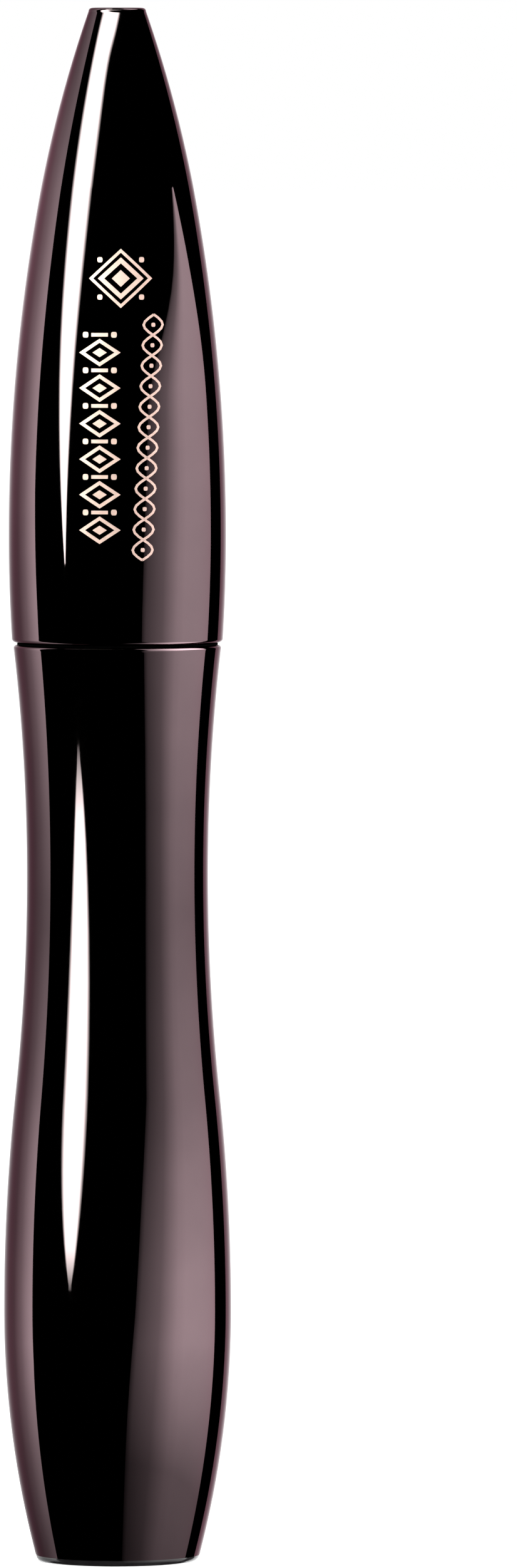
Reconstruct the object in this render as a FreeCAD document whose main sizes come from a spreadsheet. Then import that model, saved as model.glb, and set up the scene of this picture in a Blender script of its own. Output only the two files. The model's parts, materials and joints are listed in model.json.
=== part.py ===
import FreeCAD, Part
import Sketcher
import math
import os

# Mascara tube, closed and standing on its base. Millimetres, +Z up, origin at the centre of the base.
# A lacquered hourglass bottle holds an inner vial with a threaded neck, and a bullet-shaped cap holds
# a threaded liner, a stem and a moulded brush that reaches down into the formula.

DRIVING_SIZES = [
    # outside of the bottle: heights above the base, radii by how far they stand in or out of the rim
    ("bottle_height", 76.8),
    ("rim_radius", 8.85),
    ("shoulder_draw_in", 0.15),
    ("waist_height", 57.5),
    ("waist_draw_in", 1.25),
    ("belly_height", 21.0),
    ("belly_swell", 0.69),
    ("foot_draw_in", 1.95),
    ("bottle_wall", 1.1),
    ("edge_round", 0.3),
    ("ledge_depth", 2.1),
    ("ledge_width", 0.4),
    # outside of the cap
    ("parting_gap", 0.2),
    ("cap_length", 53.0),
    ("cap_swell", 0.27),
    ("cap_swell_height", 8.95),
    ("nose_height", 38.0),
    ("nose_draw_in", 2.45),
    ("nose_centre_height", 18.38),
    ("cap_wall", 1.0),
    ("tip_radius", 2.42),
    ("tip_thickness", 2.0),
    ("nose_hollow_radius", 1.6),
    # base plug and its label
    ("foot_thickness", 0.5),
    ("foot_round", 0.45),
    ("foot_overhang", 0.05),
    ("plug_land_wall", 1.0),
    ("plug_land_height", 3.0),
    ("plug_land_relief", 0.5),
    ("plug_wall", 0.9),
    ("plug_floor", 1.0),
    ("label_recess", 0.2),
    ("label_margin", 0.4),
    ("label_thickness", 0.12),
    ("label_gap", 0.1),
    # fits
    ("press_gap", 0.02),
    ("running_gap", 0.06),
    ("thread_gap", 0.15),
    ("vial_gap", 0.3),
    # inner vial and its neck
    ("vial_floor_height", 4.8),
    ("vial_wall", 0.8),
    ("vial_floor_round", 1.2),
    ("flange_thickness", 1.0),
    ("neck_slope", 1.2),
    ("neck_height", 9.6),
    ("neck_wall", 0.9),
    ("bead_height", 0.5),
    ("collar_lip_gap", 0.08),
    # screw thread
    ("thread_pitch", 2.5),
    ("thread_depth", 0.7),
    ("thread_root_width", 1.2),
    ("thread_crest_width", 0.5),
    ("root_sink", 0.1),
    ("thread_start", 3.2),
    ("neck_thread_turns", 1.4),
    ("liner_thread_turns", 1.2),
    # wiper and seal
    ("wiper_flange_thickness", 0.6),
    ("wiper_flange_margin", 0.15),
    ("wiper_wall", 0.45),
    ("wiper_tube_length", 7.0),
    ("wiper_cone_length", 3.6),
    ("wiper_lead_in", 0.25),
    ("wiper_lip", 0.35),
    ("wiper_gap", 0.1),
    ("seal_thickness", 0.6),
    ("seal_gap", 0.1),
    ("seal_bore_gap", 0.15),
    # cap liner
    ("liner_recess", 0.25),
    ("liner_flange_height", 1.6),
    ("liner_standoff", 0.8),
    ("liner_wall", 0.9),
    ("liner_ceiling", 1.2),
    ("boss_wall", 1.0),
    ("rib_thickness", 0.9),
    # stem
    ("stem_radius", 2.0),
    ("stem_foot_chamfer", 0.25),
    ("stem_head_step", 0.5),
    ("stem_head_length", 6.5),
    # brush
    ("brush_length", 24.9),
    ("brush_floor_gap", 2.85),
    ("brush_neck_gap", 0.55),
    ("knob_radius", 1.4),
    ("knob_height", 1.0),
    ("core_tip_radius", 1.2),
    ("core_radius", 1.55),
    ("brush_collar_step", 0.25),
    ("brush_collar_length", 1.3),
    ("shank_radius", 1.1),
    ("shank_length", 5.5),
    ("spike_margin", 0.75),
    ("spike_root_radius", 0.2),
    ("spike_tip_radius", 0.06),
    # formula
    ("formula_headspace", 8.0),
    ("formula_bore_gap", 0.25),
]
RIB_COUNT = 6
SPIKE_ROWS = 35
SPIKES_PER_ROW = 8
# the brush swells from its tip to its full radius, then drops to a narrow root; shares of the spike rows
# and of the full radius
SWELL_END = 0.53
FALL_START = 0.83
FALL_END = 0.92
TIP_SHARE = 0.48
ROOT_SHARE = 0.5


class Size:
    """A length with both its number and the sheet expression that gives it."""

    def __init__(self, value, text):
        self.value = value
        self.text = text

    def __add__(self, other):
        return Size(self.value + number(other), "(%s + %s)" % (self.text, text(other)))

    def __sub__(self, other):
        return Size(self.value - number(other), "(%s - %s)" % (self.text, text(other)))

    def __mul__(self, other):
        return Size(self.value * number(other), "(%s * %s)" % (self.text, text(other)))

    def __truediv__(self, other):
        return Size(self.value / number(other), "(%s / %s)" % (self.text, text(other)))


def number(size):
    return size.value if isinstance(size, Size) else float(size)


def text(size):
    return size.text if isinstance(size, Size) else repr(float(size))


class Sizes:
    """The driving sizes by name, and the fits and heights that several pieces share."""

    def __init__(self, doc):
        sheet = doc.addObject("Spreadsheet::Sheet", "Sizes")
        for row, (name, value) in enumerate(DRIVING_SIZES, start=1):
            sheet.set("A%d" % row, str(value))
            sheet.setAlias("A%d" % row, name)
        doc.recompute()
        for name, _ in DRIVING_SIZES:
            setattr(self, name, Size(float(sheet.get(name)), "Sizes." + name))
        self.share_radii()
        self.share_heights()

    def share_radii(self):
        """From the outside inwards: shell, liner, thread, neck and brush each fit inside the last."""
        self.shoulder_radius = self.rim_radius - self.shoulder_draw_in
        self.waist_radius = self.rim_radius - self.waist_draw_in
        self.belly_radius = self.rim_radius + self.belly_swell
        self.base_radius = self.rim_radius - self.foot_draw_in
        self.cap_swell_radius = self.rim_radius + self.cap_swell
        self.nose_radius = self.rim_radius - self.nose_draw_in
        self.cap_inner_radius = self.rim_radius - self.cap_wall
        self.collar_seat_radius = self.shoulder_radius - self.bottle_wall
        self.plug_land_radius = self.base_radius - self.plug_land_wall
        self.vial_radius = self.waist_radius - self.bottle_wall - self.vial_gap
        self.vial_bore_radius = self.vial_radius - self.vial_wall
        self.liner_radius = self.cap_inner_radius - self.liner_standoff
        self.liner_bore_radius = self.liner_radius - self.liner_wall
        self.neck_crest_radius = self.liner_bore_radius - self.thread_gap
        self.neck_radius = self.neck_crest_radius - self.thread_depth
        self.liner_crest_radius = self.neck_radius + self.thread_gap
        self.neck_bore_radius = self.neck_radius - self.neck_wall
        self.brush_radius = self.neck_bore_radius - self.brush_neck_gap
        self.stem_head_radius = self.stem_radius + self.stem_head_step
        self.stem_seat_radius = self.stem_head_radius + self.running_gap
        self.plug_inner_radius = self.plug_land_radius - self.plug_wall
        self.label_recess_radius = self.base_radius - self.plug_land_wall - self.label_margin

    def share_heights(self):
        self.rim_height = self.bottle_height + self.parting_gap
        self.ledge_height = self.bottle_height - self.ledge_depth
        self.collar_height = self.ledge_height + self.flange_thickness
        self.neck_top = self.bottle_height + self.neck_height
        self.seal_height = self.neck_top + self.wiper_flange_thickness
        self.ceiling_height = self.seal_height + self.seal_thickness + self.seal_gap
        self.liner_height = self.rim_height + self.liner_recess
        self.neck_thread_height = self.bottle_height + self.thread_start
        self.liner_thread_height = self.neck_thread_height + self.thread_pitch / 2
        self.vial_floor_top = self.vial_floor_height + self.vial_wall
        self.vial_shoulder = self.ledge_height - self.neck_slope
        self.brush_tip_height = self.vial_floor_top + self.brush_floor_gap
        self.brush_top_height = self.brush_tip_height + self.brush_length
        self.stem_foot_height = self.brush_top_height + self.running_gap


# ---------------------------------------------------------------------------------------------------
# sketches and features


def origin_feature(body, role):
    for feature in body.Origin.OriginFeatures:
        if feature.Role == role:
            return feature
    raise ValueError("no origin feature " + role)


def new_sketch(body, name, plane):
    sketch = body.newObject("Sketcher::SketchObject", name)
    sketch.AttachmentSupport = [(origin_feature(body, plane), "")]
    sketch.MapMode = "FlatFace"
    return sketch


def pin(sketch, geometry, point, direction, size):
    """Hold one coordinate of a point: at a size of the sheet, or on the axis where the size is zero."""
    if not isinstance(size, Size):
        axis = -2 if direction == "X" else -1
        sketch.addConstraint(Sketcher.Constraint("PointOnObject", geometry, point, axis))
        return
    distance = Sketcher.Constraint("Distance" + direction, -1, 1, geometry, point, size.value)
    index = sketch.addConstraint(distance)
    sketch.setExpression("Constraints[%d]" % index, size.text)


def arc_between(first, last, centre_y):
    """The arc from first to last with its centre at the height centre_y, and the ends it starts and stops at."""
    rise = (last.y - centre_y) ** 2 - (first.y - centre_y) ** 2
    centre_x = (last.x ** 2 - first.x ** 2 + rise) / (2 * (last.x - first.x))
    centre = FreeCAD.Vector(centre_x, centre_y, 0)
    angles = [math.atan2(p.y - centre.y, p.x - centre.x) for p in (first, last)]
    turn = (angles[1] - angles[0] + math.pi) % (2 * math.pi) - math.pi
    forward = turn > 0
    low = angles[0] if forward else angles[1]
    circle = Part.Circle(centre, FreeCAD.Vector(0, 0, 1), first.distanceToPoint(centre))
    return Part.ArcOfCircle(circle, low, low + abs(turn)), ((1, 2) if forward else (2, 1))


def draw_outline(sketch, outline):
    """Draw a closed outline of (x, y) corners; a third value is the centre height of an arc to the next one."""
    corners = [FreeCAD.Vector(number(corner[0]), number(corner[1]), 0) for corner in outline]
    ends = []
    for index, corner in enumerate(outline):
        start = corners[index]
        stop = corners[(index + 1) % len(corners)]
        if len(corner) == 3:
            edge, edge_ends = arc_between(start, stop, number(corner[2]))
        else:
            edge, edge_ends = Part.LineSegment(start, stop), (1, 2)
        sketch.addGeometry(edge, False)
        ends.append(edge_ends)
    for index, corner in enumerate(outline):
        following = (index + 1) % len(outline)
        join = Sketcher.Constraint("Coincident", index, ends[index][1], following, ends[following][0])
        sketch.addConstraint(join)
        pin(sketch, index, ends[index][0], "X", corner[0])
        pin(sketch, index, ends[index][0], "Y", corner[1])
        if len(corner) == 3:
            pin(sketch, index, 3, "Y", corner[2])


def revolved(doc, name, outline, height=None):
    """A body turned from an outline of (radius, height) corners, standing at a height of the sheet."""
    body = doc.addObject("PartDesign::Body", name)
    body.Label = name
    sketch = new_sketch(body, name + "_outline", "XZ_Plane")
    draw_outline(sketch, outline)
    turned = body.newObject("PartDesign::Revolution", name + "_turned")
    turned.Profile = sketch
    turned.ReferenceAxis = (sketch, ["V_Axis"])
    turned.Angle = 360
    sketch.Visibility = False
    if height is not None:
        body.setExpression("Placement.Base.z", height.text)
    return body


def add_thread(size, body, root_radius, crest_radius, start, turns):
    """A right-hand ridge round the Z axis; start is the height of the middle of the ridge where it begins."""
    sketch = new_sketch(body, body.Name + "_ridge", "XZ_Plane")
    half_root = size.thread_root_width / 2
    half_crest = size.thread_crest_width / 2
    draw_outline(sketch, [
        (root_radius, start - half_root),
        (crest_radius, start - half_crest),
        (crest_radius, start + half_crest),
        (root_radius, start + half_root),
    ])
    helix = body.newObject("PartDesign::AdditiveHelix", body.Name + "_thread")
    helix.Profile = sketch
    helix.ReferenceAxis = (origin_feature(body, "Z_Axis"), [""])
    helix.Mode = "pitch-height-angle"
    helix.setExpression("Pitch", size.thread_pitch.text)
    helix.setExpression("Height", (size.thread_pitch * turns).text)
    sketch.Visibility = False


# ---------------------------------------------------------------------------------------------------
# bottle


def hourglass_side(size, inset, top, foot):
    """One side of the shell, from the top: two arcs for the waist and two for the belly, down to the foot."""
    waist_radius = size.waist_radius - inset
    belly_radius = size.belly_radius - inset
    halfway = ((waist_radius + belly_radius) / 2, (size.waist_height + size.belly_height) / 2)
    return [
        top + (size.waist_height,),
        (waist_radius, size.waist_height, size.waist_height),
        halfway + (size.belly_height,),
        (belly_radius, size.belly_height, size.belly_height),
        foot,
    ]


def walked_back(chain):
    """The same corners from the other end, each arc now named by the corner below it."""
    points = [corner[:2] for corner in reversed(chain)]
    centres = [corner[2:] for corner in reversed(chain[:-1])]
    return [point + centre for point, centre in zip(points, centres)] + points[-1:]


def bottle_shell(doc, size):
    """Hourglass shell, open at both ends, with a ledge for the vial and a straight land for the base plug."""
    side_top = size.bottle_height - size.edge_round
    land_top = size.foot_thickness + size.plug_land_height
    outside = hourglass_side(
        size, 0, (size.shoulder_radius, side_top), (size.base_radius, size.foot_thickness)
    )
    inside = hourglass_side(
        size,
        size.bottle_wall,
        (size.collar_seat_radius - size.ledge_width, size.ledge_height),
        (size.plug_land_radius + size.plug_land_relief, land_top),
    )
    outline = [(size.shoulder_radius - size.edge_round, size.bottle_height, side_top)]
    outline += outside
    outline += [(size.plug_land_radius, size.foot_thickness), (size.plug_land_radius, land_top)]
    outline += walked_back(inside)
    outline += [(size.collar_seat_radius, size.ledge_height), (size.collar_seat_radius, size.bottle_height)]
    return revolved(doc, "bottle_shell", outline)


def base_plug(doc, size):
    """Plug pressed into the foot of the shell; its flange is what the bottle stands on."""
    foot_radius = size.base_radius - size.foot_overhang
    land_radius = size.plug_land_radius - size.press_gap
    plug_top = size.foot_thickness + size.plug_land_height
    return revolved(doc, "base_plug", [
        (size.label_recess_radius, 0),
        (foot_radius - size.foot_round, 0, size.foot_round),
        (foot_radius, size.foot_round),
        (foot_radius, size.foot_thickness),
        (land_radius, size.foot_thickness),
        (land_radius, plug_top),
        (size.plug_inner_radius, plug_top),
        (size.plug_inner_radius, size.label_recess + size.plug_floor),
        (0, size.label_recess + size.plug_floor),
        (0, size.label_recess),
        (size.label_recess_radius, size.label_recess),
    ])


def shade_label(doc, size):
    """Blank round label stuck to the ceiling of the recess under the plug."""
    radius = size.label_recess_radius - size.label_gap
    outline = [(0, 0), (radius, 0), (radius, size.label_thickness), (0, size.label_thickness)]
    return revolved(doc, "shade_label", outline, size.label_recess - size.label_thickness)


def inner_vial(doc, size):
    """Vial with a flange that sits on the shell's ledge, and a neck with a bead, a bore and a thread."""
    flange_bottom = size.ledge_height - size.vial_floor_height
    flange_top = size.collar_height - size.vial_floor_height
    bead_top = size.bottle_height + size.bead_height - size.vial_floor_height
    neck_top = size.neck_top - size.vial_floor_height
    shoulder = size.vial_shoulder - size.vial_floor_height
    flange_radius = size.collar_seat_radius - size.press_gap
    bead_radius = size.neck_crest_radius
    inner_round = size.vial_floor_round - size.vial_wall
    body = revolved(doc, "inner_vial", [
        (0, 0),
        (size.vial_radius - size.vial_floor_round, 0, size.vial_floor_round),
        (size.vial_radius, size.vial_floor_round),
        (size.vial_radius, flange_bottom),
        (flange_radius, flange_bottom),
        (flange_radius, flange_top),
        (bead_radius, flange_top),
        (bead_radius, bead_top),
        (size.neck_radius, bead_top),
        (size.neck_radius, neck_top),
        (size.neck_bore_radius, neck_top),
        (size.neck_bore_radius, shoulder),
        (size.vial_bore_radius, shoulder - size.neck_slope),
        (size.vial_bore_radius, size.vial_floor_round, size.vial_floor_round),
        (size.vial_bore_radius - inner_round, size.vial_wall),
        (0, size.vial_wall),
    ], size.vial_floor_height)
    start = size.neck_thread_height - size.vial_floor_height
    root = size.neck_radius - size.root_sink
    add_thread(size, body, root, size.neck_crest_radius, start, size.neck_thread_turns)
    return body


def neck_collar(doc, size):
    """Ring that holds the vial's flange down, with a lip on the shell's rim that fills the parting gap."""
    outer = size.collar_seat_radius - size.press_gap
    inner = size.neck_crest_radius + size.press_gap
    lip_radius = size.shoulder_radius - size.edge_round
    lip_bottom = size.bottle_height - size.collar_height
    lip_top = lip_bottom + size.parting_gap - size.collar_lip_gap
    return revolved(doc, "neck_collar", [
        (inner, 0),
        (outer, 0),
        (outer, lip_bottom),
        (lip_radius, lip_bottom),
        (lip_radius, lip_top),
        (inner, lip_top),
    ], size.collar_height)


def wiper(doc, size):
    """Soft wiper: a flange on the neck's rim, a tube in its bore and a cone down to a lip on the stem."""
    outer = size.neck_bore_radius - size.press_gap
    inner = outer - size.wiper_wall
    lip = size.stem_radius + size.wiper_gap
    flange_radius = size.neck_radius - size.wiper_flange_margin
    # heights are taken from the lip's lower edge
    cone_top = size.wiper_cone_length
    tube_top = size.wiper_cone_length + size.wiper_tube_length
    flange_top = tube_top + size.wiper_flange_thickness
    return revolved(doc, "wiper", [
        (lip, 0),
        (lip + size.wiper_lip, 0),
        (outer, cone_top - size.wiper_wall),
        (outer, tube_top),
        (flange_radius, tube_top),
        (flange_radius, flange_top),
        (inner + size.wiper_lead_in, flange_top),
        (inner, flange_top - size.wiper_lead_in),
        (inner, cone_top),
        (lip, size.wiper_lip),
    ], size.neck_top - size.wiper_tube_length - size.wiper_cone_length)


def mascara_formula(doc, size):
    """Paste that fills the vial round the room that the brush takes up."""
    outer = size.vial_bore_radius - size.press_gap
    bore = size.brush_radius + size.formula_bore_gap
    bottom = size.vial_floor_top + size.press_gap
    top = size.vial_shoulder - size.neck_slope - size.formula_headspace - bottom
    bore_floor = size.brush_floor_gap / 2
    rounding = size.vial_floor_round
    return revolved(doc, "mascara_formula", [
        (0, 0),
        (outer - rounding, 0, rounding),
        (outer, rounding),
        (outer, top),
        (bore, top),
        (bore, bore_floor),
        (0, bore_floor),
    ], bottom)


# ---------------------------------------------------------------------------------------------------
# cap and wand


def cap_shell(doc, size):
    """Bullet-shaped cap: a long arc above its swell, then a tighter one over the nose to a small flat tip."""
    tip_side = size.cap_length - size.edge_round
    hollow_top = size.cap_length - size.tip_thickness
    return revolved(doc, "cap_shell", [
        (size.cap_inner_radius, 0),
        (size.rim_radius - size.edge_round, 0, size.edge_round),
        (size.rim_radius, size.edge_round, size.cap_swell_height),
        (size.cap_swell_radius, size.cap_swell_height, size.cap_swell_height),
        (size.nose_radius, size.nose_height, size.nose_centre_height),
        (size.tip_radius, tip_side, tip_side),
        (size.tip_radius - size.edge_round, size.cap_length),
        (0, size.cap_length),
        (0, hollow_top),
        (size.nose_hollow_radius, hollow_top, size.cap_swell_height),
        (size.cap_swell_radius - size.cap_wall, size.cap_swell_height, size.cap_swell_height),
        (size.cap_inner_radius, size.edge_round),
    ], size.rim_height)


def cap_liner(doc, size):
    """Inner cap: a threaded tube under a ceiling, a boss for the stem, and a flange and ribs to the shell."""
    flange_radius = size.cap_inner_radius - size.press_gap
    boss_radius = size.stem_seat_radius + size.boss_wall
    ceiling = size.ceiling_height - size.liner_height
    ceiling_top = ceiling + size.liner_ceiling
    seat_top = ceiling + size.stem_head_length + size.running_gap * 2
    body = revolved(doc, "cap_liner", [
        (size.liner_bore_radius, 0),
        (flange_radius, 0),
        (flange_radius, size.liner_flange_height),
        (size.liner_radius, size.liner_flange_height),
        (size.liner_radius, ceiling_top),
        (boss_radius, ceiling_top),
        (boss_radius, seat_top + size.boss_wall),
        (0, seat_top + size.boss_wall),
        (0, seat_top),
        (size.stem_seat_radius, seat_top),
        (size.stem_seat_radius, ceiling),
        (size.liner_bore_radius, ceiling),
    ], size.liner_height)
    start = size.liner_thread_height - size.liner_height
    root = size.liner_bore_radius + size.root_sink
    add_thread(size, body, root, size.liner_crest_radius, start, size.liner_thread_turns)
    add_ribs(size, body, flange_radius, ceiling_top)
    return body


def add_ribs(size, body, rib_radius, rib_top):
    """Upright ribs on the liner's tube that centre it in the shell."""
    sketch = new_sketch(body, body.Name + "_rib", "XZ_Plane")
    root = size.liner_radius - size.root_sink
    bottom = size.liner_flange_height - size.root_sink
    draw_outline(sketch, [(root, bottom), (rib_radius, bottom), (rib_radius, rib_top), (root, rib_top)])
    rib = body.newObject("PartDesign::Pad", body.Name + "_ribs")
    rib.Profile = sketch
    rib.SideType = "Symmetric"
    rib.setExpression("Length", size.rib_thickness.text)
    sketch.Visibility = False
    pattern = body.newObject("PartDesign::PolarPattern", body.Name + "_rib_pattern")
    pattern.Originals = [rib]
    pattern.Axis = (origin_feature(body, "Z_Axis"), [""])
    pattern.Angle = 360
    pattern.Occurrences = RIB_COUNT
    body.Tip = pattern


def seal_ring(doc, size):
    """Gasket on the stem, pressed between the wiper's flange and the liner's ceiling."""
    inner = size.stem_radius + size.seal_bore_gap
    outer = size.neck_radius - size.wiper_flange_margin
    outline = [(inner, 0), (outer, 0), (outer, size.seal_thickness), (inner, size.seal_thickness)]
    return revolved(doc, "seal_ring", outline, size.seal_height)


def stem(doc, size):
    """Round rod with a thicker head in the liner's boss, and a socket in its foot for the brush."""
    head_bottom = size.ceiling_height + size.running_gap - size.stem_foot_height
    head_top = head_bottom + size.stem_head_length
    socket_radius = size.shank_radius + size.running_gap
    socket_top = size.shank_length + size.running_gap
    return revolved(doc, "stem", [
        (socket_radius, 0),
        (size.stem_radius - size.stem_foot_chamfer, 0),
        (size.stem_radius, size.stem_foot_chamfer),
        (size.stem_radius, head_bottom),
        (size.stem_head_radius, head_bottom),
        (size.stem_head_radius, head_top),
        (0, head_top),
        (0, socket_top),
        (socket_radius, socket_top),
    ], size.stem_foot_height)


def spike_share(row_share):
    """How far the spikes reach at a place along the brush, as a share of its full radius."""
    if row_share < SWELL_END:
        return TIP_SHARE + (1 - TIP_SHARE) * row_share / SWELL_END
    if row_share < FALL_START:
        return 1.0
    if row_share < FALL_END:
        return 1 - (1 - ROOT_SHARE) * (row_share - FALL_START) / (FALL_END - FALL_START)
    return ROOT_SHARE


def brush_core(size):
    """The brush without its spikes, turned about the Z axis, with the tip of its knob at zero."""
    length = size.brush_length.value
    knob_radius = size.knob_radius.value
    knob_height = size.knob_height.value
    core_radius = size.core_radius.value
    shank_radius = size.shank_radius.value
    shank_top = length + size.shank_length.value
    collar_bottom = length - size.brush_collar_length.value
    collar_radius = core_radius + size.brush_collar_step.value
    slope = size.edge_round.value
    corners = [
        (knob_radius, knob_height),
        (size.core_tip_radius.value, knob_height + slope),
        (core_radius, length / 2),
        (core_radius, collar_bottom - slope),
        (collar_radius, collar_bottom),
        (collar_radius, length),
        (shank_radius, length),
        (shank_radius, shank_top),
        (0, shank_top),
        (0, 0),
    ]
    points = [FreeCAD.Vector(radius, 0, height) for radius, height in corners]
    edges = [Part.LineSegment(first, last).toShape() for first, last in zip(points[:-1], points[1:])]
    # the knob's end is part of a sphere centred on the axis
    sphere_radius = (knob_radius ** 2 + knob_height ** 2) / (2 * knob_height)
    half_angle = math.atan2(knob_radius, sphere_radius - knob_height) / 2
    dome_middle = FreeCAD.Vector(
        sphere_radius * math.sin(half_angle), 0, sphere_radius * (1 - math.cos(half_angle))
    )
    edges.append(Part.Arc(points[-1], dome_middle, points[0]).toShape())
    return Part.Face(Part.Wire(edges)).revolve(FreeCAD.Vector(), FreeCAD.Vector(0, 0, 1), 360)


def brush_spikes(size):
    """Rows of cones that stand out of the core, every second row turned by half a place."""
    root_radius = size.spike_root_radius.value
    tip_radius = size.spike_tip_radius.value
    start = size.core_tip_radius.value - root_radius
    first_row = size.spike_margin.value
    row_pitch = (size.brush_length - size.brush_collar_length - size.spike_margin).value / SPIKE_ROWS
    spikes = []
    for row in range(SPIKE_ROWS):
        reach = size.brush_radius.value * spike_share(row / (SPIKE_ROWS - 1))
        for place in range(SPIKES_PER_ROW):
            angle = 2 * math.pi * (place + (row % 2) / 2) / SPIKES_PER_ROW
            outwards = FreeCAD.Vector(math.cos(angle), math.sin(angle), 0)
            foot = outwards * start + FreeCAD.Vector(0, 0, first_row + row * row_pitch)
            spikes.append(Part.makeCone(root_radius, tip_radius, reach - start, foot, outwards))
    return spikes


def brush(doc, size):
    """Brush moulded in one piece: tip knob, core with rows of spikes, collar, and the shank in the stem."""
    feature = doc.addObject("Part::Feature", "brush")
    feature.Label = "brush"
    feature.Shape = brush_core(size).multiFuse(brush_spikes(size))
    feature.Placement = FreeCAD.Placement(
        FreeCAD.Vector(0, 0, size.brush_tip_height.value), FreeCAD.Rotation()
    )
    return feature


# ---------------------------------------------------------------------------------------------------
# document

SUB_PARTS = [
    bottle_shell,
    base_plug,
    shade_label,
    inner_vial,
    neck_collar,
    wiper,
    mascara_formula,
    cap_shell,
    cap_liner,
    seal_ring,
    stem,
    brush,
]


def check(doc, pieces):
    """Stop unless every object of the document is sound and every piece is one valid solid."""
    for thing in doc.Objects:
        if "Invalid" in thing.State or "Error" in thing.State:
            raise RuntimeError("%s is in state %s" % (thing.Name, thing.State))
    for piece in pieces:
        shape = piece.Shape
        if shape.isNull() or not shape.isValid() or len(shape.Solids) != 1:
            raise RuntimeError("%s is not one valid solid" % piece.Label)


def main():
    doc = FreeCAD.newDocument("mascara_tube")
    size = Sizes(doc)
    pieces = [make(doc, size) for make in SUB_PARTS]
    doc.recompute()
    check(doc, pieces)
    os.makedirs("parts", exist_ok=True)
    for piece in pieces:
        piece.Shape.exportStep("parts/%s.step" % piece.Label)
        low, high = piece.Shape.BoundBox.ZMin, piece.Shape.BoundBox.ZMax
        print("%-16s %8.1f mm3, z %.2f to %.2f" % (piece.Label, piece.Shape.Volume, low, high))


main()
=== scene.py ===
"""Looks of a closed mascara tube: lacquered shells, black mouldings, a moulded brush and a foil ornament.

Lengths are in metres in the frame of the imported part: the axis is +Z, the decorated front is -Y, and the
tube stands on z = 0. An outline is a list of (radius, height) corners, and a third value in a corner makes
the side that follows an arc, whose centre is at that height.
"""

import json
import math
import random

import bmesh
import bpy
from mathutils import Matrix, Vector
from mathutils.geometry import interpolate_bezier

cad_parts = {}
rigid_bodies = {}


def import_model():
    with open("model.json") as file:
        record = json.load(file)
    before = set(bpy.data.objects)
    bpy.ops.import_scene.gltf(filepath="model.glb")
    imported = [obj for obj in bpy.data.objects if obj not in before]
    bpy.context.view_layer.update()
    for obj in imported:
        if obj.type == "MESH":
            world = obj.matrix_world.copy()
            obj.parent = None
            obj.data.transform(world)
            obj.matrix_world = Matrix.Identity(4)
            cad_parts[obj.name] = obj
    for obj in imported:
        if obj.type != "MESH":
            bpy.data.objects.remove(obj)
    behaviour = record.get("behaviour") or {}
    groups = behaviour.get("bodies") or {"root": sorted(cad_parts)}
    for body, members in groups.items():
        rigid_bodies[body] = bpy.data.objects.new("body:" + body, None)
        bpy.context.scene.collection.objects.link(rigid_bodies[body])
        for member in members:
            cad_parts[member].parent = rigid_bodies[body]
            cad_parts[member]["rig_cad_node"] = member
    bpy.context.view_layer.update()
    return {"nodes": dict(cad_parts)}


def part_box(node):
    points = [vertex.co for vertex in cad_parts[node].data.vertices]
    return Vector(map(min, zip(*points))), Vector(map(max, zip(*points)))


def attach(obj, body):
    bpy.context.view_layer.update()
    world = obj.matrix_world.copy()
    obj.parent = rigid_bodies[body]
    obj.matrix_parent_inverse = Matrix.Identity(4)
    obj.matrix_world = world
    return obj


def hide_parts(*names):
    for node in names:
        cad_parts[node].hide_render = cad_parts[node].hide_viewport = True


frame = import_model()

MM = 0.001

# shapes that the part's own outlines share
EDGE_ROUND = 0.3 * MM
CAP_SWELL_RISE = 8.95 * MM
CAP_NOSE_RISE = 38 * MM
CAP_NOSE_CENTRE_RISE = 18.38 * MM
WAIST_HEIGHT = 57.5 * MM
BELLY_HEIGHT = 21 * MM
LEDGE_DEPTH = 2.1 * MM
LIP_ROUND = 0.05 * MM
FOOT_THICKNESS = 0.5 * MM
FOOT_ROUND = 0.45 * MM
LABEL_RECESS = 0.2 * MM
PLUG_FLOOR_TOP = 1.2 * MM
LAND_TOP = 3.5 * MM
NOSE_HOLLOW_DEPTH = 2 * MM
STEM_CHAMFER = 0.25 * MM
STEM_HEAD_LENGTH = 6.5 * MM
SHANK_SOCKET_TOP = 38.97 * MM

# how finely the turned pieces are meshed
SEGMENTS = 192
ARC_STEP = 0.9 * MM
ROUND_STEPS = 10
EDGE_SUPPORT = 0.04 * MM
SHORTEST_SUPPORTED = 4 * EDGE_SUPPORT
SHARP_ANGLE = math.radians(25)
SAME_PLACE = 0.006 * MM


# ---------------------------------------------------------------------------------------------------
# turned pieces


def radii_at(node, height):
    """Radii of a CAD node's corners at one height, smallest first."""
    return sorted(
        math.hypot(vertex.co.x, vertex.co.y)
        for vertex in frame["nodes"][node].data.vertices
        if abs(vertex.co.z - height) < SAME_PLACE
    )


def inner(node, height):
    """The node's smallest radius at a height."""
    return radii_at(node, height)[0]


def outer(node, height):
    """The node's largest radius at a height."""
    return radii_at(node, height)[-1]


def arc_centre_radius(start, end, centre_height):
    """How far from the axis the centre is of an arc between two (radius, height) corners."""
    drop = (start[1] - centre_height) ** 2 - (end[1] - centre_height) ** 2
    return (start[0] ** 2 - end[0] ** 2 + drop) / (2 * (start[0] - end[0]))


def eased(steps):
    """Shares from 0 up to 1, closest together at both ends, so that shading stays true beside an edge."""
    return [(1 - math.cos(math.pi * step / steps)) / 2 for step in range(steps)]


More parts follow.
